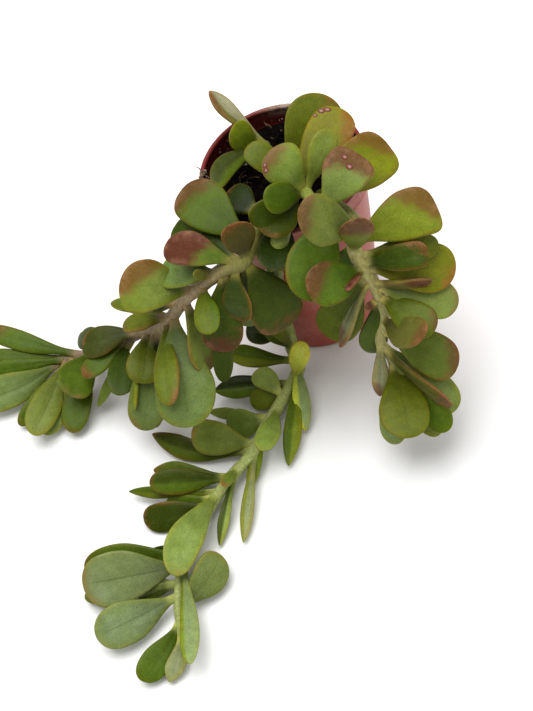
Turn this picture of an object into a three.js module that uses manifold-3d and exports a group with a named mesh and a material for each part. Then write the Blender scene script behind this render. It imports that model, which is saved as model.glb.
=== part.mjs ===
// A trailing jade in a small plastic pot.
//
// Millimetres, +Z up. The origin is the middle of the pot's flat foot, and the
// pot stands on Z = 0. A short crown and a young sprout stand in the soil, and
// three runners arch over the rim, come down beside the pot and lie along the
// surface.
//
// Stems and leaf tips are placed by sight: each place is given as it is seen
// from one slanting viewpoint, in millimetres across and down the picture plane,
// with its height above the surface.

import * as THREE from "three";
import { mergeVertices } from "three/addons/utils/BufferGeometryUtils.js";
import Module from "manifold-3d";

// Pot
const POT_HEIGHT = 108;
const RIM_RADIUS = 40.5;
const FOOT_RADIUS = 31;
const COLLAR_HEIGHT = 12;
const COLLAR_STEP = 2.4;
const WALL = 1.6;
const FLOOR = 2;
const LIP_BEAD = 1.2;
const HEEL = 1.5;
const POT_SIDES = 36;
const DRAIN_HOLES = 6;
const DRAIN_RADIUS = 3;
const DRAIN_RING = 20;

// Soil
const SOIL_LEVEL = 96;
const SOIL_BOTTOM = 4;
const SOIL_SIDES = 28;
const SOIL_RINGS = 5;
const SOIL_BUMP = 1.3;
const GAP = 0.35;
const HOLE_DEPTH = 11;
const HOLE_GAP = 0.8;

// Stems
const STEM_SIDES = 8;
const STEM_STEP = 7;

// Leaves: the stations run from the root to the tip, with the half width and
// the half thickness there as shares of the leaf's greatest ones
const LEAF_THICKNESS = 3.4;
const LEAF_SIDES = 6;
const ROOT_WIDTH = 4.4;
const LEAF_STATIONS = [
  [0, 0.1, 0.8],
  [0.28, 0.47, 0.95],
  [0.5, 0.84, 1],
  [0.7, 1.02, 0.95],
  [0.87, 0.88, 0.75],
  [0.97, 0.5, 0.5],
];

// Viewpoint that the places are seen from
const VIEW_ELEVATION = THREE.MathUtils.degToRad(54);
const VIEW_ROLL = THREE.MathUtils.degToRad(20);
const VIEW_DISTANCE = 850;
const VIEW_MIDDLE = new THREE.Vector3(-37.5, -39.9, 24);

const toViewer = new THREE.Vector3(0, -Math.cos(VIEW_ELEVATION), Math.sin(VIEW_ELEVATION));
const level = new THREE.Vector3(1, 0, 0);
const fall = new THREE.Vector3().crossVectors(level, toViewer);
const across = level.clone().applyAxisAngle(toViewer, -VIEW_ROLL);
const down = fall.clone().applyAxisAngle(toViewer, -VIEW_ROLL);
const eye = VIEW_MIDDLE.clone().addScaledVector(toViewer, VIEW_DISTANCE);

// The place that is seen at x across and y down, at a height above the surface
function sight(x, y, height) {
  const ray = across.clone().multiplyScalar(x).addScaledVector(down, y);
  ray.addScaledVector(toViewer, -VIEW_DISTANCE);
  return eye.clone().addScaledVector(ray, (height - eye.z) / ray.z);
}

const wasm = await Module();
wasm.setup();

function solidOf(geometry) {
  const bare = geometry.clone();
  bare.deleteAttribute("normal");
  bare.deleteAttribute("uv");
  const merged = mergeVertices(bare, 1e-4);
  return new wasm.Manifold(
    new wasm.Mesh({
      numProp: 3,
      vertProperties: new Float32Array(merged.attributes.position.array),
      triVerts: new Uint32Array(merged.index.array),
    }),
  );
}

function geometryOf(solid) {
  const mesh = solid.getMesh();
  const geometry = new THREE.BufferGeometry();
  geometry.setAttribute("position", new THREE.BufferAttribute(mesh.vertProperties, 3));
  geometry.setIndex(new THREE.BufferAttribute(mesh.triVerts, 1));
  const faceted = geometry.toNonIndexed();
  faceted.computeVertexNormals();
  return faceted;
}

// A closed skin over rings of points, each ring as long as the first. An end is
// closed with a fan round its middle, or round a point beyond it
function loft(rings, firstPoint, lastPoint) {
  const sides = rings[0].length;
  const points = rings.flat();
  const faces = [];
  for (let row = 0; row + 1 < rings.length; row += 1) {
    for (let side = 0; side < sides; side += 1) {
      const next = (side + 1) % sides;
      const a = row * sides + side;
      const b = row * sides + next;
      faces.push(a, b, b + sides, a, b + sides, a + sides);
    }
  }
  const first = points.push(firstPoint) - 1;
  const last = points.push(lastPoint) - 1;
  const lastRow = (rings.length - 1) * sides;
  for (let side = 0; side < sides; side += 1) {
    const next = (side + 1) % sides;
    faces.push(first, next, side);
    faces.push(last, lastRow + side, lastRow + next);
  }
  const geometry = new THREE.BufferGeometry().setFromPoints(points);
  geometry.setIndex(faces);
  return geometry;
}

function middleOf(ring) {
  const sum = new THREE.Vector3();
  ring.forEach((point) => sum.add(point));
  return sum.divideScalar(ring.length);
}

function material(color, roughness) {
  return new THREE.MeshStandardMaterial({ color, roughness, metalness: 0 });
}

// Pot: a tapered cup with a deep collar, a beaded lip and drain holes in its floor
function makePot() {
  const collarFoot = POT_HEIGHT - COLLAR_HEIGHT;
  const bodyTop = RIM_RADIUS - COLLAR_STEP;
  const outside = [
    new THREE.Vector2(FOOT_RADIUS - HEEL, 0),
    new THREE.Vector2(FOOT_RADIUS, HEEL),
    new THREE.Vector2(bodyTop, collarFoot),
    new THREE.Vector2(RIM_RADIUS - 0.4, collarFoot + 0.6),
    new THREE.Vector2(RIM_RADIUS, POT_HEIGHT - 2 * LIP_BEAD),
    new THREE.Vector2(RIM_RADIUS, POT_HEIGHT - 0.5),
    new THREE.Vector2(RIM_RADIUS - LIP_BEAD, POT_HEIGHT),
  ];
  const inside = [
    new THREE.Vector2(RIM_RADIUS - 2 * LIP_BEAD, POT_HEIGHT - 0.5),
    new THREE.Vector2(RIM_RADIUS - 2 * LIP_BEAD, collarFoot + 2),
    new THREE.Vector2(bodyTop - WALL, collarFoot - 1),
    new THREE.Vector2(FOOT_RADIUS - WALL, FLOOR + HEEL),
    new THREE.Vector2(FOOT_RADIUS - WALL - HEEL, FLOOR),
  ];
  const profile = [new THREE.Vector2(0, 0), ...outside, ...inside, new THREE.Vector2(0, FLOOR)];
  const turned = new THREE.LatheGeometry(profile, POT_SIDES);
  turned.rotateX(Math.PI / 2);
  let pot = solidOf(turned);
  for (let hole = 0; hole < DRAIN_HOLES; hole += 1) {
    const angle = (hole / DRAIN_HOLES) * 2 * Math.PI;
    const drill = new THREE.CylinderGeometry(DRAIN_RADIUS, DRAIN_RADIUS, 4 * FLOOR, 8);
    drill.rotateX(Math.PI / 2);
    drill.translate(DRAIN_RING * Math.cos(angle), DRAIN_RING * Math.sin(angle), 0);
    pot = pot.subtract(solidOf(drill));
  }
  return pot;
}

// The soil's inner wall follows the pot's inside with a small gap
function soilRadius(height) {
  const collarFoot = POT_HEIGHT - COLLAR_HEIGHT;
  const top = RIM_RADIUS - COLLAR_STEP - WALL - GAP;
  const low = FOOT_RADIUS - WALL - GAP;
  return THREE.MathUtils.lerp(low, top, Math.min(height / (collarFoot - 1), 1));
}

// Crumbly rise and fall of the soil's top, worked out from a few waves
function crumble(x, y) {
  const broad = Math.sin(x * 0.19 + 1) * Math.cos(y * 0.23 - 0.5);
  const fine = Math.sin(x * 0.61 + y * 0.37) * Math.cos(y * 0.71 - x * 0.29);
  return SOIL_BUMP * (0.7 * broad + 0.6 * fine);
}

// Soil: fills the pot to below the rim, with a plain blind hole for each stem
function makeSoil(stemHoles) {
  const ringAt = (radius, heightAt) =>
    Array.from({ length: SOIL_SIDES }, (unused, side) => {
      const angle = (side / SOIL_SIDES) * 2 * Math.PI;
      const x = radius * Math.cos(angle);
      const y = radius * Math.sin(angle);
      return new THREE.Vector3(x, y, heightAt(x, y));
    });
  const rings = [ringAt(soilRadius(SOIL_BOTTOM) - HEEL, () => SOIL_BOTTOM)];
  rings.push(ringAt(soilRadius(SOIL_LEVEL - 4), () => SOIL_LEVEL - 4));
  const topRadius = soilRadius(SOIL_LEVEL - 2);
  const topHeight = (x, y) => SOIL_LEVEL - 1.5 + crumble(x, y);
  for (let ring = SOIL_RINGS; ring > 0; ring -= 1) {
    rings.push(ringAt((topRadius * ring) / SOIL_RINGS, topHeight));
  }
  const under = new THREE.Vector3(0, 0, SOIL_BOTTOM);
  const peak = new THREE.Vector3(0, 0, topHeight(0, 0));
  let soil = solidOf(loft(rings, under, peak));
  stemHoles.forEach(({ x, y, radius }) => {
    const bore = new THREE.CylinderGeometry(radius, radius, 2 * HOLE_DEPTH, 12);
    bore.rotateX(Math.PI / 2);
    bore.translate(x, y, SOIL_LEVEL);
    soil = soil.subtract(solidOf(bore));
  });
  return soil;
}

// A stem's middle line starts upright in its soil hole and runs through its places
function stemLine(shoot) {
  const [x, y] = shoot.hole;
  const start = [SOIL_LEVEL - HOLE_DEPTH + 1, SOIL_LEVEL + 2];
  const upright = start.map((height) => new THREE.Vector3(x, y, height));
  const seen = shoot.route.map((place) => sight(...place));
  const line = new THREE.CatmullRomCurve3([...upright, ...seen], false, "centripetal");
  line.arcLengthDivisions = 800;
  return line;
}

function stemSolid(shoot, line) {
  const steps = Math.round(line.getLength() / STEM_STEP);
  const frames = line.computeFrenetFrames(steps);
  const rings = [];
  for (let step = 0; step <= steps; step += 1) {
    const centre = line.getPointAt(step / steps);
    const radius = THREE.MathUtils.lerp(shoot.thick, shoot.thin, step / steps) / 2;
    const ring = [];
    for (let side = 0; side < STEM_SIDES; side += 1) {
      const angle = (side / STEM_SIDES) * 2 * Math.PI;
      const point = centre.clone().addScaledVector(frames.normals[step], radius * Math.cos(angle));
      ring.push(point.addScaledVector(frames.binormals[step], radius * Math.sin(angle)));
    }
    rings.push(ring);
  }
  const tip = line.getPointAt(1).addScaledVector(line.getTangentAt(1), shoot.thin / 3);
  return solidOf(loft(rings, middleOf(rings[0]), tip));
}

// A fleshy leaf from its root inside the stem to its tip. Turn rolls the blade
// from facing the viewer, bow arches it towards the side that it faces, and sway
// curves it sideways
function leafSolid(root, tip, width, turn, bow, sway) {
  const along = tip.clone().sub(root);
  const heading = along.clone().normalize();
  const facing = toViewer.clone().addScaledVector(heading, -toViewer.dot(heading)).normalize();
  facing.applyAxisAngle(heading, THREE.MathUtils.degToRad(turn));
  const side = new THREE.Vector3().crossVectors(facing, heading);
  const rings = LEAF_STATIONS.map(([t, wide, thick]) => {
    const arch = 4 * t * (1 - t);
    const centre = root.clone().addScaledVector(along, t);
    centre.addScaledVector(facing, bow * arch).addScaledVector(side, sway * arch);
    const halfWidth = Math.max((wide * width) / 2, (ROOT_WIDTH / 2) * (1 - t));
    const halfThickness = (thick * Math.min(LEAF_THICKNESS, width / 3)) / 2;
    return Array.from({ length: LEAF_SIDES }, (unused, corner) => {
      const angle = (corner / LEAF_SIDES) * 2 * Math.PI;
      const point = centre.clone().addScaledVector(side, halfWidth * Math.cos(angle));
      return point.addScaledVector(facing, halfThickness * Math.sin(angle));
    });
  });
  return solidOf(loft(rings, middleOf(rings[0]), tip));
}

function makeShoot(shoot) {
  const line = stemLine(shoot);
  let whole = stemSolid(shoot, line);
  shoot.leaves.forEach(([at, x, y, height, width, turn, bow = 1.5, sway = 0]) => {
    const tip = sight(x, y, height);
    whole = whole.add(leafSolid(line.getPointAt(at), tip, width, turn, bow, sway));
  });
  return whole;
}

// Shoots. A hole is a place in the pot's own plan, and a route's places are
// across, down and height. A leaf's row is the share of the stem where it
// springs, its tip across, down and height, its width, then its turn and, where
// they differ from the usual, its bow and sway
const crown = {
  name: "crown_shoot",
  hole: [1, 1],
  thick: 8,
  thin: 5,
  route: [
    [10, -87, 108],
    [15, -85.5, 120],
    [21, -80, 127],
    [27, -72, 130],
  ],
  leaves: [
    [0.3, 31.25, -129.5, 125, 25, 15, 1.5, 1.6],
    [0.56, 39.5, -122.25, 131, 21.5, -8, 1.5, 0.5],
    [0.95, 62.25, -103.75, 128, 24.5, 8, 1.5, 2.8],
    [0.5, -9.75, -104.75, 130, 13.5, 10],
    [0.76, 31.75, -113, 143, 12, 10, 1.5, 0.5],
    [0.76, 1.75, -102.75, 145, 19.5, 0, 3],
    [1, 46, -101, 143, 21, 0, 2, 0],
    [0.72, -1.25, -77.5, 139, 14, -15],
    [0.72, -8.75, -67.75, 129.5, 13.5, -20, 1.5, 1.6],
    [0.66, -1.5, -60.5, 123, 18, 0],
  ],
};

const sprout = {
  name: "young_sprout",
  hole: [-3, 20],
  thick: 6,
  thin: 4,
  route: [
    [0, -104, 107],
    [-1, -107, 112],
  ],
  leaves: [
    [0.9, -29, -132, 130, 14, 54, 1.5, 1.5],
    [0.42, -14.75, -117.25, 121, 13, -20, 1.5, 4.4],
    [0.8, -26.25, -84.25, 112, 12, 20, 0, -5.5],
  ],
};

const left = {
  name: "left_runner",
  hole: [-17, -14],
  thick: 8,
  thin: 4.4,
  route: [
    [-3, -69, 110],
    [-6, -61, 115],
    [-12, -47, 112],
    [-21, -43, 106],
    [-31, -36, 94],
    [-41, -28, 80],
    [-47, -20, 68],
    [-53, -14, 56],
    [-61, -12, 46],
    [-77, -5, 24],
    [-93, 0, 12],
    [-103, 3, 9],
  ],
  leaves: [
    [0.22, -42.75, -82.25, 123, 23, 0, 3],
    [0.27, -45.75, -64.75, 110, 20, 0],
    [0.28, -51.5, -53.25, 118, 16, -10, 1.5, -3],
    [0.26, -18.75, -65.25, 137, 15.5, 10, 1.5, -2.5],
    [0.12, -20.25, -81.25, 110, 16, 10],
    [0.44, -74, -33, 104, 25, 0, 3, -2.3],
    [0.34, -53.25, -41.75, 98, 18, 20],
    [0.36, -36.25, -40.75, 113, 5, 0, 0],
    [0.5, -59, -24.5, 74, 13, 45],
    [0.56, -77.5, -26.5, 64, 9, 45],
    [0.56, -72, -14, 68, 13, 50],
    [0.28, -12.5, -17, 86, 15, 30, 1.5, -1],
    [0.26, -8, -15, 66, 15, 0],
    [0.32, -22, -1.5, 70, 19, 0],
    [0.4, -28, -11, 94, 12, 10],
    [0.26, 8.75, -12.75, 74, 25, 0, 3, 1.5],
    [0.48, -29.5, 8, 54, 17, -40],
    [0.54, -38.5, 36, 44, 28, 0, 3],
    [0.58, -48.5, 24.75, 62, 12.5, 15, 3],
    [0.67, -62, 14, 44, 18, 0],
    [0.64, -61, 37.5, 22, 19, 0],
    [0.68, -66.25, 27.25, 34, 9, 78],
    [0.62, -55, 36, 14, 12, 20],
    [0.71, -92, -2.5, 38, 15, 15, 1.5, -2.3],
    [0.76, -87, 1, 26, 14, 0],
    [0.76, -91.75, 10.5, 32, 11, 20],
    [0.82, -92.5, -11.75, 16, 9, 0],
    [0.84, -94.5, -8.25, 12, 10, 0],
    [0.9, -98, 20.25, 24, 19, 0, 1.5, -1],
    [0.92, -97, 38.5, 6, 15, 10],
    [0.98, -116.5, 40, 12, 16, 0],
    [0.96, -110.75, 39.5, 6, 14, 0],
    [1, -145.75, 23.25, 12, 18.5, 0, 1.5, 3],
    [0.94, -140.75, -13.25, 20, 11, 10, 1.5, 1.5],
    [0.98, -144, -0.25, 15, 7.5, 15],
    [0.96, -123.5, 35, 4, 10, 0],
    [0.74, -84.5, 26, 8, 5.5, 0],
    [0.78, -73.5, 20, 34, 14, 0],
    [0.31, -21.75, 13.25, 52, 10.5, 10],
    [0.97, -146, 9.5, 12, 9.5, 0],
  ],
};

const right = {
  name: "right_runner",
  hole: [13, -18],
  thick: 8,
  thin: 4.6,
  route: [
    [29, -76, 109],
    [36, -74, 116],
    [45, -65, 116],
    [44, -53, 109],
    [53, -37, 90],
    [59, -20, 68],
    [57, -7, 52],
    [62, 0, 44],
    [64, 6, 38],
  ],
  leaves: [
    [0.42, 16, -73, 147, 21, 0, 4, 1],
    [0.27, 19.25, -27.75, 104, 23.5, 0, 3, -1],
    [0.48, 47.5, -68.75, 140, 14.5, 0, 1.5, 1],
    [0.46, 85.5, -74, 118, 22.7, 0, 2, 3],
    [0.5, 86, -56, 102, 13, 10],
    [0.53, 80.75, -50.5, 110, 12.7, 0],
    [0.55, 94.75, -44.75, 90, 22.5, 0, 1.5, -1],
    [0.62, 83, -37.5, 96, 13, 76],
    [0.64, 96, -26, 78, 18, 0],
    [0.68, 83.75, -12.25, 80, 16.5, 0],
    [0.79, 79.75, -9.75, 92, 16, 0, 1.5, -2],
    [0.84, 94.75, 7.75, 44, 21, 0, 1.5, 1.5],
    [0.92, 93, 25, 44, 12, 72],
    [0.9, 95, 27, 24, 19, 0],
    [0.96, 91, 37.5, 28, 14.5, 15],
    [0.98, 72, 41, 38, 23, 0],
    [0.98, 64.5, 44.5, 20, 15, 30],
    [1, 86, 40, 14, 12, 0],
    [0.88, 56.75, 20.25, 28, 8.5, 0],
    [0.68, 53.25, -1.5, 42, 13.5, 0, 1.5, -0.5],
    [0.6, 37, -4, 56, 11, 60],
    [0.58, 31.75, -8.75, 54, 21, 0, 1.5, -1],
    [0.56, 20.25, -32.75, 110, 20, 0, 3, 1],
    [0.56, 40.25, -32, 104, 8.5, 60],
    [0.69, 49.5, -23, 80, 4, 0, 0],
    [0.44, 38, -44, 96, 9, 0],
  ],
};

const lower = {
  name: "lower_runner",
  hole: [-4, -21],
  thick: 9,
  thin: 4.4,
  route: [
    [9, -69, 109],
    [7, -59, 115],
    [4, -47, 104],
    [5, -34, 74],
    [8, -22, 46],
    [12, -7, 20],
    [16, 6, 10],
    [8, 22, 8],
    [-1, 37, 8],
    [-8, 50, 8],
    [-17, 60, 8],
    [-26, 72, 8],
    [-33, 85, 8],
    [-41, 102, 8],
    [-44, 122, 7],
    [-42, 142, 6],
  ],
  leaves: [
    [0.08, 2.5, -42, 114, 17, 0, 2],
    [0.56, -6, 8, 18, 11.5, 0, 1.5, -1],
    [0.52, 17.5, -6.75, 38, 10, 0],
    [0.48, 19.5, 38, 4, 9, 0],
    [0.5, 11, 55, 4, 9, 0],
    [0.49, -22.25, -2.25, 24, 11, 10, -2, 1.2],
    [0.44, -10.25, -12.75, 30, 14, 10],
    [0.53, -26, 17.5, 8, 12, 20],
    [0.6, -29, 28, 6, 6, 0],
    [0.54, -8, 24, 6, 11, 0],
    [0.58, -3, 47.5, 24, 11, 0, 1.5, 0.6],
    [0.6, -20, 35, 5, 15, 0],
    [0.65, -37.5, 38, 17, 17.5, 0, 1.5, 1],
    [0.66, -57, 39.25, 6, 11.5, 0, 1.5, 5],
    [0.72, -56.5, 57.25, 9, 10.5, 0],
    [0.72, -58.5, 63.75, 16, 13, 0],
    [0.75, -69, 68, 6, 6, 0],
    [0.76, -50, 74, 4, 8, 0],
    [0.77, -61.25, 82.25, 4, 14.5, 0, 1.5, 1],
    [0.75, -47.75, 109.75, 18, 17, 0, 3, -2.7],
    [0.7, -22.5, 65, 20, 6, 0, 0],
    [0.71, -23.5, 95, 3, 5.5, 0, 1.5, -0.5],
    [0.66, -11.5, 93.75, 3, 6.5, 0],
    [0.62, -8.5, 66, 3, 6, 0],
    [0.88, -92, 114.5, 14, 26, 0],
    [0.86, -91, 107, 5, 19, 0],
    [0.85, -58.25, 99.75, 5, 7, 0],
    [0.93, -85.25, 140.75, 12, 20.5, 0],
    [0.91, -91, 121, 5, 10, 0],
    [0.91, -66, 118, 5, 12, 0],
    [0.97, -63, 162.5, 6, 14, 0, 1.5, 1.5],
    [0.99, -48.5, 163.5, 3, 9, 0, 1.5, 0.7],
    [0.88, -38.25, 154.5, 16, 9, 0, 1.5, 1],
    [0.95, -22.75, 99.75, 10, 17, 0, 1.5, -2],
    [0.47, -1.75, -15.75, 46, 9, 0, 1.5],
    [0.23, -9, -30, 80, 11, 0],
    [0.29, -13, -20, 56, 11, 0],
    [0.34, -6, -12, 44, 11, 0],
  ],
};

const shoots = [crown, sprout, left, right, lower];

// The four main stems and the sprout stand in the soil with a clear ring around each
const stemHoles = shoots.map(({ hole, thick }) => ({
  x: hole[0],
  y: hole[1],
  radius: thick / 2 + HOLE_GAP,
}));

const plant = new THREE.Group();

function addPart(name, solid, look) {
  const mesh = new THREE.Mesh(geometryOf(solid), look);
  mesh.name = name;
  plant.add(mesh);
}

const leafGreen = material(0x67802f, 0.45);
const crownGreen = material(0x7c8c2c, 0.45);
const paleGreen = material(0x8ba45a, 0.45);

addPart("pot", makePot(), material(0xa8564b, 0.6));
addPart("soil", makeSoil(stemHoles), material(0x1d1512, 0.95));
addPart(crown.name, makeShoot(crown), crownGreen);
addPart(sprout.name, makeShoot(sprout), crownGreen);
addPart(left.name, makeShoot(left), leafGreen);
addPart(right.name, makeShoot(right), leafGreen);
addPart(lower.name, makeShoot(lower), paleGreen);

export default plant;
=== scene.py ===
# Trailing jade in its pot: the looks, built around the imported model.
# Places are in millimetres, as seen from the photo's viewpoint, until a mesh is made.
import math

import bpy
import numpy as np
from mathutils import Matrix, Vector


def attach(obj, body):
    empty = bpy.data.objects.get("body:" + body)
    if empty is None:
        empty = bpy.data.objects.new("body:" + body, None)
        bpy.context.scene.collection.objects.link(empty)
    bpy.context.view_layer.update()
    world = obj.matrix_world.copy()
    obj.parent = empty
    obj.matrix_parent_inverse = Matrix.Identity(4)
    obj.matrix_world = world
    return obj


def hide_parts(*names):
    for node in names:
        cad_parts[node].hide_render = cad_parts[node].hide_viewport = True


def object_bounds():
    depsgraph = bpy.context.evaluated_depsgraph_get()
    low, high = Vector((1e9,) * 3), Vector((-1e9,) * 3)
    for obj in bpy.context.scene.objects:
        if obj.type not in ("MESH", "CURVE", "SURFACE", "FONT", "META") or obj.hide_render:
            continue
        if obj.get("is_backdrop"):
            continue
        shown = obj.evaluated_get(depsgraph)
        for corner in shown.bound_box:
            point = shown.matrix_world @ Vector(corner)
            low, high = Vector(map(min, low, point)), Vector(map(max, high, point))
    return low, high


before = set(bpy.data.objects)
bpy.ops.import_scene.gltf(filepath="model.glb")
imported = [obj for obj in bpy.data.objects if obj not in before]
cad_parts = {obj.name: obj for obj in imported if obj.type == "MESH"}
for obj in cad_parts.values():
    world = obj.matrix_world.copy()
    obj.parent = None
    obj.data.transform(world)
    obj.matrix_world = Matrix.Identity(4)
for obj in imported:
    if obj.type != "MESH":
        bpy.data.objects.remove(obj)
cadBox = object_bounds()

print("frame loaded, CAD box", [round(side, 4) for side in cadBox[1] - cadBox[0]])

mm = 0.001
up = np.array([0, 0, 1])
norm = np.linalg.norm
scene = bpy.context.scene

viewpoint = dict(
    elevation=54,  # degrees above the floor
    roll=20,  # degrees, clockwise as seen
    distance=850,
    middle=(-37.5, -39.9, 24),  # what the camera looks at
    focalPixels=1700,  # focal length in pixels of the photo
    longSide=711,  # pixels
    sensor=36,
)

elevation = math.radians(viewpoint["elevation"])
toViewer = np.array([0, -math.cos(elevation), math.sin(elevation)])
rollTurn = np.array(Matrix.Rotation(-math.radians(viewpoint["roll"]), 3, Vector(toViewer)))
acrossWay = rollTurn @ np.array([1, 0, 0])
downWay = rollTurn @ np.cross([1, 0, 0], toViewer)
eye = np.array(viewpoint["middle"]) + toViewer * viewpoint["distance"]


def sight(across, down, height):
    # the place seen at across and down on the picture plane, at a height above the floor
    ray = acrossWay * across + downWay * down - toViewer * viewpoint["distance"]
    return eye + ray * (height - eye[2]) / ray[2]


def unit(vector):
    return vector / norm(vector)


def smooth(value, low, high):
    share = np.clip((value - low) / (high - low), 0, 1)
    return share * share * (3 - 2 * share)


def fullTurn(sides):
    return np.linspace(0, 2 * np.pi, sides, endpoint=False)


def ringPoints(radius, angles, height):
    x, y = radius * np.cos(angles), radius * np.sin(angles)
    return np.stack([x, y, np.broadcast_to(height, x.shape)], -1)


def linear(rgb):
    # a colour as 0 to 255 on screen, turned into the renderer's own scale
    share = np.array(rgb, float) / 255
    return np.where(share <= 0.04045, share / 12.92, ((share + 0.055) / 1.055) ** 2.4)


def shade(rgb):
    return (*linear(rgb), 1)


# Material nodes

def newMaterial(name):
    material = bpy.data.materials.new(name)
    material.use_nodes = True
    tree = material.node_tree
    tree.nodes.clear()
    output = tree.nodes.new("ShaderNodeOutputMaterial")
    shader = tree.nodes.new("ShaderNodeBsdfPrincipled")
    tree.links.new(shader.outputs["BSDF"], output.inputs["Surface"])
    return material, tree, shader


def plug(inputs, values):
    for name, value in dict(values).items():
        if isinstance(value, bpy.types.NodeSocket):
            value.id_data.links.new(value, inputs[name])
        else:
            inputs[name].default_value = value


def addNode(tree, kind, inputs=(), **settings):
    made = tree.nodes.new("ShaderNode" + kind)
    for key, value in settings.items():
        setattr(made, key, value)
    plug(made.inputs, inputs)
    return made


def treeOf(*values):
    # the node tree of the first socket among the values
    return next(value.id_data for value in values if isinstance(value, bpy.types.NodeSocket))


def maths(operation, *values):
    result = values[0]
    for value in values[1:]:
        inputs = {0: result, 1: value}
        result = addNode(treeOf(result, value), "Math", inputs, operation=operation).outputs[0]
    return result


def times(*values):
    return maths("MULTIPLY", *values)


def plus(*values):
    return maths("ADD", *values)


def swing(value, amount):
    # a noise turned into a push either way
    return times(plus(value, -0.5), amount)


def mix(factor, a, b, blend="MIX"):
    inputs = {0: factor, 6: a, 7: b}
    made = addNode(treeOf(factor, a, b), "Mix", inputs, data_type="RGBA", blend_type=blend)
    return made.outputs[2]


def tinted(colour, factors):
    return mix(1, colour, (*factors, 1), "MULTIPLY")


def ease(value, low, high, start=0.0, end=1.0):
    # goes softly from start, where the value is low, to end, where it is high
    inputs = {"Value": value, "From Min": low, "From Max": high, "To Min": start, "To Max": end}
    made = addNode(value.id_data, "MapRange", inputs, interpolation_type="SMOOTHSTEP")
    return made.outputs["Result"]


def texture(tree, kind, **inputs):
    place = addNode(tree, "TexCoord").outputs["Object"]
    return addNode(tree, "Tex" + kind, {"Vector": place, **inputs}).outputs


def noise(tree, scale, detail=2.0, roughness=0.5):
    return texture(tree, "Noise", Scale=scale, Detail=detail, Roughness=roughness)["Fac"]


def specks(tree, scale):
    return texture(tree, "Voronoi", Scale=scale)["Distance"]


def layer(tree, name):
    # a per-point layer of a mesh: its colour, its three channels and a fourth
    read = addNode(tree, "Attribute", attribute_name=name)
    parts = addNode(tree, "SeparateColor", {"Color": read.outputs["Color"]}).outputs
    return read.outputs["Color"], parts[0], parts[1], parts[2], read.outputs["Alpha"]


def bumps(shader, *heights):
    # each height is (value, strength, distance in metres)
    normal = {}
    for value, strength, distance in heights:
        inputs = {"Height": value, "Strength": strength, "Distance": distance, **normal}
        normal = {"Normal": addNode(shader.id_data, "Bump", inputs).outputs["Normal"]}
    plug(shader.inputs, normal)


# Meshes

layerNames = ("place", "tone", "blush")


def tube(rings, tip, finish=0, **layers):
    # a closed skin over rings of points, with a point at its end, and its layers
    rows, sides = rings.shape[:2]
    index = np.arange(rows * sides).reshape(rows, sides)
    after = np.roll(index, -1, axis=1)
    faces = np.stack([index[:-1], after[:-1], after[1:], index[1:]], -1).reshape(-1, 4).tolist()
    first, last = rows * sides, rows * sides + 1
    faces += [(first, after[0, side], index[0, side]) for side in range(sides)]
    faces += [(last, index[-1, side], after[-1, side]) for side in range(sides)]
    points = np.vstack([rings.reshape(-1, 3), rings[0].mean(0), tip])
    part = {"points": points, "faces": faces, "finish": finish}
    for name in layerNames:
        values = np.broadcast_to(layers.get(name, 0), (rows, sides, 4)).reshape(-1, 4)
        part[name] = np.vstack([values, values[0], values[-1]])
    return part


def addToScene(name, data):
    made = bpy.data.objects.new(name, data)
    scene.collection.objects.link(made)
    return made


def addMesh(name, parts):
    faces, start = [], 0
    for part in parts:
        faces += [tuple(int(corner) + start for corner in face) for face in part["faces"]]
        start += len(part["points"])
    points = np.concatenate([part["points"] for part in parts]) * mm
    mesh = bpy.data.meshes.new(name)
    mesh.from_pydata(points.tolist(), [], faces)
    return addToScene(name, mesh)


def makePiece(name, parts, materials, slot, *nodes):
    piece = addMesh(name, parts)
    mesh = piece.data
    finishes = [part["finish"] for part in parts for _ in part["faces"]]
    mesh.polygons.foreach_set("material_index", finishes)
    mesh.polygons.foreach_set("use_smooth", [True] * len(finishes))
    for layerName in layerNames:
        values = np.concatenate([part[layerName] for part in parts])
        store = mesh.attributes.new(layerName, "FLOAT_COLOR", "POINT")
        store.data.foreach_set("color", values.astype(np.float32).ravel())
    for material in materials:
        mesh.materials.append(material)
    mesh.update()
    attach(piece, "root")
    if nodes:
        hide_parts(*nodes)
    print("made", name, len(mesh.vertices), "points")
    return piece


# Leaf finish

leafFinish = dict(
    mottle=0.08,  # how far the patches go from the tone
    underside=(124, 136, 76),
    undersideShare=0.15,
    bloom=(1.16, 1.14, 1.5),  # a pale waxy film on the middle, partly a painted sheen, which multiplies the tone
    bloomRise=(0.8, 5),  # mm from the rim where it starts and is full
    sunned=(1.35, 1.16, 0.8),  # multiplies the tone near the rim
    sunReach=(3.2, 0.2),
    crease=(0.62, 0.66, 0.6),  # painted shade in the midline groove, which multiplies too
    creaseWidth=0.035,  # share of the leaf's width
    orange=(140, 84, 32),
    mauve=(98, 48, 40),
    blushDepth=0.92,
    blushSpread=0.6,  # how far down the leaf a full blush goes, as a share of the length
    blushFade=0.2,
    blushLean=1.6,
    bleach=(168, 130, 104),  # pale patches in the blush
    bleachShare=0.36,
    edgeReach=2.2,  # mm of blush along the rim
    edgeRagged=2.4,
    edgeDepth=0.85,
    marginWidth=0.55,  # mm
    # the pale margin line is a painted highlight on the rounded rim
    marginPale=(142, 146, 66),
    marginWarm=(156, 104, 64),
    grit=0.13,
    dots=0.08,
    dot=(206, 210, 170),
    flecks=0.6,
    fleck=(58, 60, 26),
    roughness=0.36,
    sheen=0.16,
    glow=0.06,  # light that passes through the flesh
    glowDepth=0.0015,  # metres
    glowColour=(0.7, 1, 0.25),
)


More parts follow.
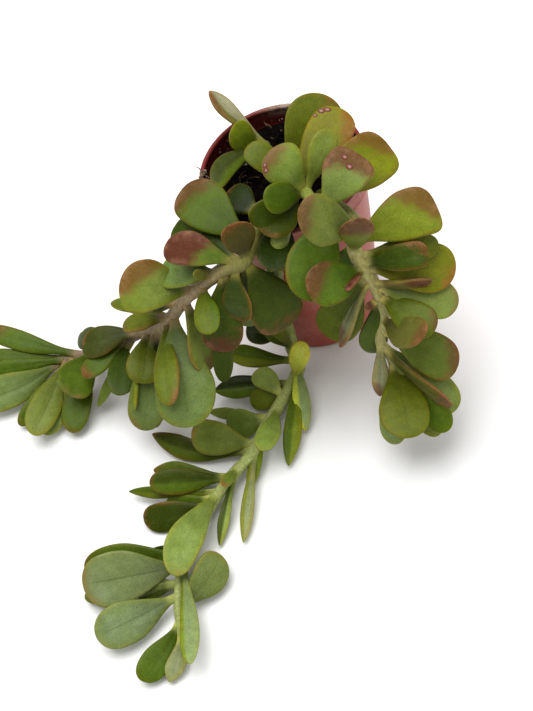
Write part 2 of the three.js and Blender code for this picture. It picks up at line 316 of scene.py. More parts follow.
def makeLeafMaterial():
    look = leafFinish
    material, tree, shader = newMaterial("leafFlesh")
    _, along, across, rim, upper = layer(tree, "place")
    tone, _, _, _, groove = layer(tree, "tone")
    _, tip, edge, hue, lean = layer(tree, "blush")
    broad, patchy, grain = noise(tree, 55, 2), noise(tree, 240, 3), noise(tree, 1500, 2, 0.7)
    rimDistance = times(rim, 10)  # mm from the leaf's outline
    sideways = plus(across, -0.5)

    # flesh, paler below, with a waxy middle that is partly a painted sheen, and a sunned rim
    dark, light = [tinted(tone, [1 + way * look["mottle"]] * 3) for way in (-1, 1)]
    colour = mix(ease(patchy, 0.32, 0.68), dark, light)
    under = ease(upper, 0.55, 0.4, 0, look["undersideShare"])
    colour = mix(under, colour, shade(look["underside"]))
    film = times(ease(rimDistance, *look["bloomRise"]), ease(broad, 0.38, 0.66))
    colour = mix(film, colour, tinted(colour, look["bloom"]))
    sun = times(ease(rimDistance, *look["sunReach"]), ease(broad, 0.3, 0.7, 0.2, 0.9))
    colour = mix(sun, colour, tinted(colour, look["sunned"]))

    # painted shade in the crease along the middle
    crease = ease(maths("ABSOLUTE", sideways, 0), look["creaseWidth"], 0)
    crease = times(crease, ease(along, 0.1, 0.3), ease(along, 0.97, 0.8), groove)
    colour = mix(crease, colour, tinted(colour, look["crease"]))

    # blush from the tip, to one side where it leans
    blushColour = mix(hue, shade(look["orange"]), shade(look["mauve"]))
    leaning = times(plus(lean, -0.5), sideways, look["blushLean"])
    reach = plus(along, swing(broad, 0.4), swing(patchy, 0.3), leaning, swing(grain, 0.3))
    low = maths("SUBTRACT", 0.95, times(tip, look["blushSpread"]))
    blushed = ease(reach, low, plus(low, look["blushFade"]))
    blushed = times(blushed, maths("POWER", tip, 0.3))
    colour = mix(times(blushed, look["blushDepth"]), colour, blushColour)
    bleach = ease(patchy, 0.42, 0.7, 0, look["bleachShare"])
    bleach = times(bleach, ease(rimDistance, 5, 0.5), blushed)
    colour = mix(bleach, colour, shade(look["bleach"]))

    # ragged blush along the rim, and the thin margin line, warm where the rim blushes and elsewhere
    # a pale painted highlight along the rim
    ragged = plus(rimDistance, swing(patchy, look["edgeRagged"]))
    edging = times(ease(ragged, look["edgeReach"], 0.1), ease(along, 0.35, 0.7))
    edging = times(edging, edge, ease(broad, 0.36, 0.6, 0.2, 1), look["edgeDepth"])
    colour = mix(edging, colour, blushColour)
    line = times(ease(rimDistance, look["marginWidth"], 0.1), ease(edge, 0, 0.8, 0.22, 0.55))
    line = times(line, ease(broad, 0.3, 0.6, 0.45, 1.1), ease(along, 0.2, 0.5))
    margin = mix(ease(edge, 0.15, 0.6), shade(look["marginPale"]), shade(look["marginWarm"]))
    colour = mix(line, colour, margin)

    # grain, pale dots and dark flecks
    grit = ease(grain, 0.32, 0.68, 1 - look["grit"], 1 + look["grit"])
    colour = addNode(tree, "HueSaturation", {"Value": grit, "Color": colour}).outputs["Color"]
    dots = ease(specks(tree, 900), 0.22, 0.1, 0, look["dots"])
    colour = mix(dots, colour, shade(look["dot"]))
    flecks = ease(specks(tree, 130), 0.06, 0.03, 0, look["flecks"])
    colour = mix(flecks, colour, shade(look["fleck"]))
    plug(shader.inputs, {
        "Base Color": colour,
        "Roughness": ease(patchy, 0.2, 0.8, look["roughness"] - 0.06, look["roughness"] + 0.1),
        "Specular IOR Level": look["sheen"],
        "Subsurface Weight": look["glow"],
        "Subsurface Radius": look["glowColour"],
        "Subsurface Scale": look["glowDepth"],
    })
    bumps(shader, (patchy, 0.25, 0.0006), (grain, 0.16, 0.0002))
    return material


# Stem finish

stemFinish = dict(
    dark=(0.84, 0.83, 0.78),  # the streaks multiply the bark's tone
    light=(1.22, 1.22, 1.2),
    streaks=(900, 900, 260),  # fine round the stem, drawn out along the height
    node=(134, 112, 78),  # the tan at each leaf's base
    rust=(126, 84, 52),
    rustShare=0.7,
    roughness=0.55,
    sheen=0.35,
    glow=0.06,
)


def makeStemMaterial():
    look = stemFinish
    material, tree, shader = newMaterial("stemBark")
    _, _, _, knot, _ = layer(tree, "place")
    tone, _, _, _, age = layer(tree, "tone")
    patchy, grain = noise(tree, 220, 4), noise(tree, 1300, 3, 0.7)
    place = addNode(tree, "TexCoord").outputs["Object"]
    place = addNode(tree, "Mapping", {"Vector": place, "Scale": look["streaks"]}).outputs["Vector"]
    inputs = {"Vector": place, "Scale": 1, "Detail": 3.0}
    streaks = addNode(tree, "TexNoise", inputs).outputs["Fac"]
    dark, light = tinted(tone, look["dark"]), tinted(tone, look["light"])
    colour = mix(ease(streaks, 0.3, 0.7), dark, light)
    rust = times(ease(patchy, 0.56, 0.72), age, look["rustShare"])
    colour = mix(rust, colour, shade(look["rust"]))
    ring = times(knot, ease(grain, 0.3, 0.7, 0.05, 0.4))
    colour = mix(ring, colour, shade(look["node"]))
    plug(shader.inputs, {
        "Base Color": colour,
        "Roughness": look["roughness"],
        "Specular IOR Level": look["sheen"],
        "Subsurface Weight": look["glow"],
        "Subsurface Scale": 0.001,
    })
    bumps(shader, (streaks, 0.2, 0.0004), (grain, 0.15, 0.0002))
    return material


# Scab finish

scabFinish = dict(
    rim=(112, 52, 42),
    middle=(158, 132, 112),
    roughness=0.6,
)


def makeScabMaterial():
    look = scabFinish
    material, tree, shader = newMaterial("scabCork")
    fromMiddle = layer(tree, "place")[1]
    grain = noise(tree, 2400, 2)
    ring = ease(fromMiddle, 0.36, 0.54)
    colour = mix(ring, shade(look["middle"]), shade(look["rim"]))
    colour = mix(times(grain, 0.35), colour, shade(look["rim"]))
    plug(shader.inputs, {"Base Color": colour, "Roughness": look["roughness"]})
    bumps(shader, (grain, 0.4, 0.0002))
    return material


leafFlesh = makeLeafMaterial()
stemBark = makeStemMaterial()
scabCork = makeScabMaterial()
print("plant finishes ready")


# Leaves

leafForm = dict(
    thickness=3.4,
    slimmest=3,  # a narrow leaf's width against its thickness
    rootWidth=4.4,
    neck=0.1,  # width where it springs, as a share of the full width
    swell=1.6,  # how late it swells
    broadest=0.7,  # share of the length
    thinsFrom=0.55,
    rows=30,
    sides=28,
    lastRow=0.985,
    camber=0.07,  # how far the margins turn up, as a share of the half width
    wave=0.035,
    bulge=0.035,  # unevenness of the outline
    grooveDepth=0.55,  # share of the half thickness
    grooveWidth=0.09,
    rootShade=0.68,  # painted shade: the tone where a leaf springs, against the tone at its end
    toneSpread=0.07,  # how far a leaf's tone strays from its row's
    barkReach=(8, 2.5),  # mm from the root over which a leaf takes the stem's tone
    markSquash=0.8,  # length of a scab against its width
    curl=(-0.6, 0.6),  # this and the next three are drawn anew for each leaf
    skew=(-0.06, 0.06),
    cup=(0.4, 1.5),
    phase=(0, 1),
    seed=11,
)

leafTones = dict(  # colours as seen on screen in plain light; dark is partly painted shade, for leaves that lie in shade
    bright=(180, 186, 72), lime=(111, 125, 30), gold=(120, 122, 20), spring=(110, 124, 50),
    green=(80, 100, 18), deep=(60, 74, 6), dark=(36, 50, 2), olive=(94, 106, 22),
    blue=(106, 121, 61), sage=(122, 138, 68), pale=(120, 131, 82), milk=(132, 144, 96),
    dusk=(66, 76, 26), dry=(146, 146, 108), tan=(102, 104, 48), umber=(76, 70, 22),
    mauve=(124, 112, 64),
)


def leaf(at, across, down, height, width, turn, tone, tip=0, edge=0.12, hue=0.4,
         bow=1.5, sway=0, groove=0.25, lean=0, square=0, half="", split=0, marks=()):
    # at is the share of the stem where it springs; across, down and height place its end;
    # tip, edge and hue are its blush, from 0 to 1, and hue goes from orange brown to mauve;
    # half is the tone left of the heading, past the split, a place across from -1 to 1, and paints
    # the light and shade of the leaf's fold;
    # a mark is a scab's share of the length, place across and size
    return dict(locals())


def pointed(*row, **more):
    return leaf(*row, square=-0.6, **more)


def leafSurface(spec, along, angle):
    # points of the leaf's skin at shares of its length and angles round it
    form = leafForm
    span = spec["end"] - spec["root"]
    heading = unit(span)
    facing = unit(toViewer - heading * (toViewer @ heading))
    facing = np.array(Matrix.Rotation(math.radians(spec["turn"]), 3, Vector(heading))) @ facing
    side = np.cross(facing, heading)
    arch = 4 * along * (1 - along)
    rise = spec["bow"] * arch + spec["curl"] * smooth(along, 0.5, 1)
    centre = spec["root"] + span * along[..., None]
    centre = centre + facing * rise[..., None] + side * (spec["sway"] * arch)[..., None]

    # outline: a neck, a swelling blade and a blunt or pointed end
    upTo = np.minimum(along / form["broadest"], 1)
    past = np.clip((along - form["broadest"]) / (1 - form["broadest"]), 0, 1)
    across, lift = np.cos(angle), np.sin(angle)
    swell = form["neck"] + 0.92 * np.sin(np.pi / 2 * upTo) ** form["swell"]
    blunt = np.maximum(1 - past ** (2.5 + 1.5 * spec["square"]), 0) ** (1 / (2 + spec["square"]))
    bulge = np.sin(2 * np.pi * (1.4 * along + spec["phase"] + 0.37 * (across > 0)))
    halfWidth = swell * spec["width"] / 2 * (1 + form["bulge"] * bulge)
    petiole = form["rootWidth"] / 2 * (1 - along)
    halfWidth = (halfWidth ** 6 + petiole ** 6) ** (1 / 6) * blunt

    # section: a flattened oval with a groove on top, cupped and rippled
    thickness = min(form["thickness"], spec["width"] / form["slimmest"]) / 2
    thinned = np.clip((along - form["thinsFrom"]) / (1 - form["thinsFrom"]), 0, 1)
    thickness = thickness * (0.84 + 0.16 * smooth(along, 0, 0.3))
    thickness = thickness * np.sqrt(np.maximum(1 - thinned ** 3.2, 0))
    dip = spec["groove"] * form["grooveDepth"] * np.exp(-(across / form["grooveWidth"]) ** 2)
    dip = dip * smooth(along, 0.08, 0.3) * smooth(along, 1, 0.85)
    oval = np.sign(lift) * np.abs(lift) ** 0.75 * np.where(lift > 0, 0.9, 1.08)
    lift = (oval - np.where(lift > 0, dip, 0)) * thickness
    ripple = np.sin(2 * np.pi * (1.3 * along + spec["phase"])) * across
    cup = form["camber"] * spec["cup"] * (across ** 2 - 0.3)
    lift = lift + (cup + form["wave"] * ripple) * halfWidth
    skew = 1 + spec["skew"] * across * np.sin(np.pi * along)
    points = centre + side * (halfWidth * across * skew)[..., None] + facing * lift[..., None]
    return points, halfWidth


def markPart(spec, mark):
    # a small corky scab with a raised rim, lying on the leaf's upper side
    share, across, size = mark
    radii = np.array([0.1, 0.4, 0.66, 0.82, 1.0])
    heights = np.array([0.04, 0.05, 0.2, 0.16, -0.1])
    radius, spoke = np.meshgrid(radii, fullTurn(14), indexing="ij")
    halfWidth = leafSurface(spec, np.array([share]), np.array([1.0]))[1][0]
    along = share + size * leafForm["markSquash"] * radius * np.sin(spoke) / spec["length"]
    across = np.clip(across + size * radius * np.cos(spoke) / halfWidth, -0.97, 0.97)
    rings = leafSurface(spec, along, np.arccos(across))[0]
    rings = rings + unit(toViewer) * heights[:, None, None]
    place = np.zeros((*radius.shape, 4))
    place[..., 0] = radius
    return tube(rings[::-1], rings[0].mean(0), finish=2, place=place[::-1])


def rimDistances(spec, along, across):
    # mm from each point to the leaf's outline, measured flat
    steps = np.linspace(0, 1, 70)
    outline = []
    for way in (1, -1):
        width = leafSurface(spec, steps, np.arccos(way + steps * 0))[1]
        outline.append(np.stack([steps * spec["length"], width * way], -1))
    flat = np.stack([along * spec["length"], across], -1)
    return norm(flat[:, :, None] - np.concatenate(outline), axis=-1).min(-1)


def leafParts(root, spec, bark, random):
    form = leafForm
    end = sight(spec["across"], spec["down"], spec["height"])
    spec = dict(spec, root=root, end=end, length=norm(end - root))
    for quirk in ("curl", "skew", "cup", "phase"):
        spec[quirk] = random.uniform(*form[quirk])
    steps = np.sin(np.pi / 2 * np.linspace(0, form["lastRow"], form["rows"]))
    along, angle = np.meshgrid(steps, fullTurn(form["sides"]), indexing="ij")
    across = np.cos(angle)
    rings, halfWidth = leafSurface(spec, along, angle)
    rim = rimDistances(spec, along, halfWidth * across)
    place = [along, across / 2 + 0.5, np.minimum(rim / 10, 1), np.sin(angle) / 2 + 0.5]
    place = np.stack(place, -1)

    tone = linear(leafTones[spec["tone"]])
    # painted light and shade of a fold: one side of the leaf takes the half tone
    half = linear(leafTones[spec["half"] or spec["tone"]])
    share = smooth(across, spec["split"] - 0.12, spec["split"] + 0.18)[..., None]
    tone = tone * (1 - share) + half * share
    tone = tone * random.uniform(1 - form["toneSpread"], 1 + form["toneSpread"], 3)
    # painted shade: each leaf is painted darker where it springs, lighter towards its end
    bright = form["rootShade"] + (1 - form["rootShade"]) * smooth(along, 0.1, 0.75)
    spring = smooth(along * spec["length"], *form["barkReach"])[..., None]
    tone = tone * bright[..., None] * (1 - spring) + bark * spring
    groove = np.full((*angle.shape, 1), spec["groove"])
    tone = np.concatenate([tone, groove], -1)
    blush = (spec["tip"], spec["edge"], spec["hue"], spec["lean"] / 2 + 0.5)
    part = tube(rings, rings[-1].mean(0), place=place, tone=tone, blush=blush)
    return [part] + [markPart(spec, mark) for mark in spec["marks"]]


# Stems

stemForm = dict(
    step=1.4,
    sides=20,
    starts=(86, 98),  # the upright heights in the soil, before the route
    knotRise=0.07,  # swelling at each leaf, as a share of the radius
    knotLength=2.4,
    scarRise=0.025,
    scarGap=6.5,  # mm between the old leaf scars
    ridges=0.035,
)


def stemLine(shoot):
    # a smooth curve through the stem's places, evenly weighted at sharp turns
    places = [np.array([*shoot["hole"], height], float) for height in stemForm["starts"]]
    places += [sight(*place) for place in shoot["route"]]
    places = [2 * places[0] - places[1], *places, 2 * places[-1] - places[-2]]
    share = np.linspace(0, 1, 60, endpoint=False)[:, None]
    points = []
    for before, start, end, after in zip(places, places[1:], places[2:], places[3:]):
        steps = start - before, end - start, after - end
        first, gap, last = [norm(step) ** 0.5 for step in steps]
        leave = (start - before) / first - (end - before) / (first + gap) + (end - start) / gap
        reach = (end - start) / gap - (after - start) / (gap + last) + (after - end) / last
        leave, reach = leave * gap, reach * gap
        bend = (-3 * start + 3 * end - 2 * leave - reach) * share ** 2
        bend = bend + (2 * start - 2 * end + leave + reach) * share ** 3
        points.append(start + leave * share + bend)
    points = np.vstack([*points, places[-2]])
    lengths = np.concatenate([[0], np.cumsum(norm(np.diff(points, axis=0), axis=1))])
    return points, lengths


def pointAt(line, share):
    points, lengths = line
    return np.array([np.interp(share * lengths[-1], lengths, values) for values in points.T]).T


def barkAt(shoot, share):
    fade = smooth(share, *shoot["barkFade"])
    bark = linear(shoot["barkStart"]) * (1 - fade) + linear(shoot["barkEnd"]) * fade
    return bark * (1 - shoot.get("barkDim", 0) * smooth(share, 0.55, 0.75))


def stemPart(line, shoot, random):
    form = stemForm
    length = line[1][-1]
    shares = np.linspace(0, 1, int(length / form["step"]))
    centres = pointAt(line, shares)
    headings = np.array([unit(heading) for heading in np.gradient(centres, axis=0)])
    normal = unit(np.cross(headings[0], acrossWay))
    normals = []
    for heading in headings:
        normal = unit(normal - heading * (normal @ heading))
        normals.append(normal)
    normals = np.array(normals)
    binormals = np.cross(headings, normals)

    knot, scars = np.zeros(len(shares)), np.zeros(len(shares))
    for spec in shoot["leaves"]:
        knot = np.maximum(knot, np.exp(-((shares - spec["at"]) * length / form["knotLength"]) ** 2))
    for scar in np.arange(8, length, form["scarGap"]):
        scars += np.exp(-((shares * length - scar - random.uniform(-1, 1)) / 0.7) ** 2)
    radius = (shoot["thick"] + (shoot["thin"] - shoot["thick"]) * shares) / 2
    radius = radius * (1 + form["knotRise"] * knot + form["scarRise"] * scars)
    radius = radius * np.sqrt(np.clip((1 - shares) * length / 2.2, 0.02, 1))
    angles = fullTurn(form["sides"])
    ridge = 1 + form["ridges"] * np.cos(3 * angles + shares[:, None] * length / 9)
    around = normals[:, None] * np.cos(angles)[:, None]
    around = around + binormals[:, None] * np.sin(angles)[:, None]
    rings = centres[:, None] + around * (radius[:, None] * ridge)[..., None]

    place, tone = np.zeros((*ridge.shape, 4)), np.zeros((*ridge.shape, 4))
    place[..., 2] = np.clip(0.5 * knot + 0.5 * scars, 0, 1)[:, None]
    tone[..., :3] = barkAt(shoot, shares[:, None])[:, None]
    tone[..., 3] = shoot["rust"]
    tip = centres[-1] + headings[-1] * shoot["thin"] / 6
    return tube(rings, tip, finish=1, place=place, tone=tone)


def makeShoot(shoot):
    random = np.random.default_rng(leafForm["seed"] + len(shoot["leaves"]))
    line, name = stemLine(shoot), shoot["name"]
    parts = [stemPart(line, shoot, random)]
    for spec in shoot["leaves"]:
        at = spec["at"]
        parts += leafParts(pointAt(line, at), spec, barkAt(shoot, at), random)
    makePiece(name + "_fine", parts, (leafFlesh, stemBark, scabCork), shoot["slot"], name)


# Shoots: route places are across, down and height

crownLeaves = [
    leaf(0.3, 31.25, -129.5, 125, 25, 15, "olive", 0.15, 0.2, 0.2, sway=1.6, lean=-0.4),
    leaf(0.56, 39.5, -122.25, 131, 21.5, -8, "gold", 0.25, 0.5, 0.1, sway=0.5, lean=-0.7,
         marks=((0.893, 0.75, 1.8), (0.842, 0.85, 1.8), (0.76, 0.9, 1.2))),
    leaf(0.95, 62.25, -103.75, 128, 24.5, 8, "gold", 0.3, 0.3, 0.7, sway=2.8, lean=0.8, square=0.6),
    leaf(0.5, -9.75, -104.75, 130, 13.5, 10, "olive", 0.05, 0.12, 0.3),
    leaf(0.76, 31.75, -113, 143, 12, 10, "spring", 0, 0.08, 0.3, sway=0.5),
    leaf(0.76, 1.75, -102.75, 145, 19.5, 0, "spring", 0.38, 0.28, 0.8, bow=3, lean=0.4,
         marks=((0.885, 0.78, 1.2), (0.805, 0.8, 1.4))),
    leaf(1, 46, -101, 143, 21, 0, "sage", 0.62, 0.48, 0.9, bow=2, lean=0.5, square=1,
         marks=((0.85, 0.4, 1.6), (0.77, 0.02, 1.8))),
    leaf(0.72, -1.25, -77.5, 139, 14, -15, "green", hue=0.3),
    leaf(0.72, -8.75, -67.75, 129.5, 13.5, -20, "deep", hue=0.3, sway=1.6),
    leaf(0.66, -1.5, -60.5, 123, 18, 0, "deep", 0.1, 0.16),
]

crown = dict(
    name="crown_shoot",
    slot="crown_leaf",
    hole=(1, 1),
    thick=8,
    thin=5,
    barkStart=(122, 128, 66),
    barkEnd=(132, 142, 68),
    barkFade=(0, 0.6),
    rust=0.2,
    route=[
        (10, -87, 108), (15, -85.5, 120), (21, -80, 127), (27, -72, 130),
    ],
    leaves=crownLeaves,
)

sproutLeaves = [
    leaf(0.9, -29, -132, 130, 14, 54, "dry", 0.2, 0.4, 0.7, bow=0.5, sway=1.5, groove=0.6, lean=0.9,
         square=-0.5, half="tan", split=0.45),
    leaf(0.42, -14.75, -117.25, 125.5, 13, -20, "lime", 0, 0.16, 0.3, bow=2.5, sway=4.4),
    leaf(0.8, -26.25, -84.25, 112, 12, 20, "dusk", bow=0, sway=-5.5, groove=0.3, half="green",
         split=0.35),
]

sprout = dict(
    name="young_sprout",
    slot="crown_leaf",
    hole=(-3, 20),
    thick=6,
    thin=4,
    barkStart=(108, 112, 60),
    barkEnd=(122, 128, 66),
    barkFade=(0, 0.6),
    rust=0.2,
    route=[
        (0, -104, 107), (-1, -107, 112),
    ],
    leaves=sproutLeaves,
)

leftLeaves = [
    leaf(0.22, -42.75, -82.25, 123, 23, 0, "green", 0.38, 0.28, 0.95, bow=3, lean=-0.1),
    leaf(0.27, -45.75, -64.75, 110, 20, 0, "deep"),
    leaf(0.28, -51.5, -53.25, 118, 16, -10, "spring", 1, 0.4, 1, sway=-3, lean=-0.5),
    leaf(0.26, -18.75, -65.25, 137, 15.5, 10, "umber", 0.25, 0.5, 0.6, sway=-2.5),
    leaf(0.12, -20.25, -81.25, 110, 16, 10, "dark", 0.1, 0.08),
    leaf(0.44, -74, -33, 104, 25, 0, "spring", 0.4, 0.28, 0.6, bow=3, sway=-2.3, lean=-0.8),
    leaf(0.34, -53.25, -41.75, 98, 18, 20, "blue", hue=0.5),
    leaf(0.36, -36.25, -40.75, 113, 5, 0, "tan", 0, 0.08, 0.5, bow=0),
    pointed(0.5, -59, -24.5, 74, 13, 45, "dark", 0.1, 0.16, 0.5),
    leaf(0.56, -77.5, -26.5, 64, 9, 45, "olive", 0.1, 0.24, 0.6),
    leaf(0.56, -72, -14, 68, 13, 50, "olive", 0.05, 0.44, 0.6),
    leaf(0.28, -12.5, -17, 86, 15, 30, "dusk", 0.1, 0.5, 0.15, sway=-1),
    leaf(0.26, -8, -15, 66, 15, 0, "pale", 0, 0.08, 0.5),
    leaf(0.32, -22, -1.5, 70, 19, 0, "deep", 0.4, 0.48, 0.95),
    leaf(0.4, -28, -11, 94, 12, 10, "olive", edge=0.08, half="green", split=0.3),
    leaf(0.26, 8.75, -12.75, 74, 25, 0, "deep", 0.25, 0.4, 0.5, bow=3, sway=1.5),
    leaf(0.48, -29.5, 8, 54, 17, -40, "spring", 0.25, 0.5, 0.9, lean=0.8),
    leaf(0.54, -38.5, 36, 44, 28, 0, "blue", 0, 0.2, 0.7, bow=3, groove=0.3, lean=0.6),
    leaf(0.58, -48.5, 24.75, 62, 12.5, 15, "olive", 0.12, 0.46, 0.6, bow=3, lean=0.5),
    leaf(0.67, -62, 14, 44, 18, 0, "olive", 0, 0.32, 0.3, groove=0.7),
    leaf(0.64, -61, 37.5, 22, 19, 0, "blue", 0.1, 0.16, 0.5),
    pointed(0.68, -66.25, 27.25, 34, 9, 78, "lime", 0, 0.24, 0.3),
    pointed(0.62, -55, 36, 14, 12, 20, "dark", 0.1),
    leaf(0.71, -92, -2.5, 38, 15, 15, "dusk", 0.1, 0.44, 0.3, sway=-2.3, lean=-0.5),
    leaf(0.76, -87, 1, 26, 14, 0, "green", 0.1, 0.16),
    leaf(0.76, -91.75, 10.5, 32, 11, 20, "green", 0.35, 0.24, 0.6),
    pointed(0.82, -92.5, -11.75, 16, 9, 0, "deep", edge=0.08),
    leaf(0.84, -94.5, -8.25, 12, 10, 0, "dusk", edge=0.16),
    leaf(0.9, -98, 20.25, 24, 19, 0, "green", 0.1, 0.16, sway=-1),
    leaf(0.92, -97, 38.5, 6, 15, 10, "green", 0.1, 0.16),
    leaf(0.98, -116.5, 40, 12, 16, 0, "spring", groove=0.6),
    leaf(0.96, -110.75, 39.5, 6, 14, 0, "sage"),
    leaf(1, -145.75, 23.25, 12, 18.5, 0, "blue", 0.1, 0.2, 0.5, sway=3, groove=0.8,
         marks=((0.86, 0.35, 1.2),)),
    leaf(0.94, -140.75, -13.25, 20, 11, 10, "green", 0.35, 0.32, 0.6, sway=1.5),
    leaf(0.98, -144, -0.25, 15, 7.5, 15, "green", 0.1, 0.16),
    leaf(0.96, -123.5, 35, 4, 10, 0, "green", 0.1, 0.16, 0.5),
    pointed(0.74, -84.5, 26, 8, 5.5, 0, "spring", edge=0.08),
    leaf(0.78, -73.5, 20, 34, 14, 0, "deep", edge=0.08),
    leaf(0.31, -21.75, 13.25, 52, 10.5, 10, "deep", edge=0.08),
    leaf(0.97, -146, 9.5, 12, 9.5, 0, "green", edge=0.16),
]

left = dict(
    name="left_runner",
    slot="runner_leaf",
    hole=(-17, -14),
    thick=8,
    thin=4.4,
    barkStart=(122, 122, 62),
    barkEnd=(172, 154, 126),
    barkFade=(0.25, 0.42),
    barkDim=0.45,
    rust=0.3,
    route=[
        (-3, -69, 110), (-6, -61, 115), (-12, -47, 112), (-21, -43, 106), (-31, -36, 94),
        (-41, -28, 80), (-47, -20, 68), (-53, -14, 56), (-61, -12, 46), (-77, -5, 24),
        (-93, 0, 12), (-103, 3, 9),
    ],
    leaves=leftLeaves,
)

rightLeaves = [
    leaf(0.42, 16, -73, 147, 21, 0, "spring", 0.34, 0.3, 1, bow=4, sway=1, lean=0.15),
    leaf(0.27, 19.25, -27.75, 104, 23.5, 0, "green", 0, 0.32, 0.05, bow=3, sway=-1),
    leaf(0.48, 47.5, -68.75, 140, 14.5, 0, "spring", 0.62, 0.36, 1, sway=1, lean=0.1),
    leaf(0.46, 85.5, -74, 118, 22.7, 0, "lime", 0.36, 0.4, 0.75, bow=2, sway=3, lean=0.7,
         square=1.2),
    leaf(0.5, 86, -56, 102, 13, 10, "olive"),
    leaf(0.53, 80.75, -50.5, 110, 12.7, 0, "deep", 0.14, 0.5, 0.5, lean=0.6, square=0.8),
    leaf(0.55, 94.75, -44.75, 90, 22.5, 0, "gold", 0.2, 0.5, 0, sway=-1, lean=-0.2),
    pointed(0.62, 83, -37.5, 96, 13, 76, "mauve", 0.6, 0.3, 1, groove=0.5),
    leaf(0.64, 96, -26, 78, 18, 0, "sage", 0.2, 0.24, 1),
    leaf(0.68, 83.75, -12.25, 80, 16.5, 0, "olive", 0.18, 0.56, 0.95, lean=0.6),
    leaf(0.79, 79.75, -9.75, 92, 16, 0, "tan", 0.3, 0.5, 0.7, sway=-2),
    leaf(0.84, 94.75, 7.75, 44, 21, 0, "spring", 0.3, 0.56, 0.8, sway=1.5, lean=0.3),
    leaf(0.92, 93, 25, 44, 12, 72, "tan", 0.3, 0.5, 0.9),
    leaf(0.9, 95, 27, 24, 19, 0, "sage", 0.05, 0.16, 0.5),
    leaf(0.96, 91, 37.5, 28, 14.5, 15, "green", edge=0.08),
    leaf(0.98, 72, 41, 38, 23, 0, "olive", edge=0.2, groove=0.35),
    leaf(0.98, 64.5, 44.5, 20, 15, 30, "pale"),
    leaf(1, 86, 40, 14, 12, 0, "spring", edge=0.08),
    pointed(0.88, 56.75, 20.25, 28, 8.5, 0, "dry", 0.35, 0.3, 0.8, groove=0.6),
    leaf(0.68, 53.25, -1.5, 42, 13.5, 0, "green", edge=0.08, sway=-0.5),
    pointed(0.6, 37, -4, 56, 11, 60, "dry", 0.45, 0.4, 0.9, groove=0.6),
    leaf(0.58, 31.75, -8.75, 54, 21, 0, "olive", 0, 0.16, 0.2, sway=-1),
    leaf(0.56, 20.25, -32.75, 110, 20, 0, "green", 0.45, 0.4, 0.9, bow=3, sway=1, lean=-0.5),
    pointed(0.56, 40.25, -32, 104, 8.5, 60, "umber", 0.9, 0.5, 1, groove=0.4),
    pointed(0.69, 49.5, -23, 80, 4, 0, "mauve", 0.8, 0.24, 1, bow=0, groove=0.5),
    leaf(0.44, 38, -44, 96, 9, 0, "green", edge=0),
]

right = dict(
    name="right_runner",
    slot="runner_leaf",
    hole=(13, -18),
    thick=8,
    thin=4.6,
    barkStart=(108, 112, 52),
    barkEnd=(172, 168, 112),
    barkFade=(0.3, 0.5),
    rust=0.3,
    route=[
        (29, -76, 109), (36, -74, 116), (45, -65, 116), (44, -53, 109), (53, -37, 90),
        (59, -20, 68), (57, -7, 52), (62, 0, 44), (64, 6, 38),
    ],
    leaves=rightLeaves,
)

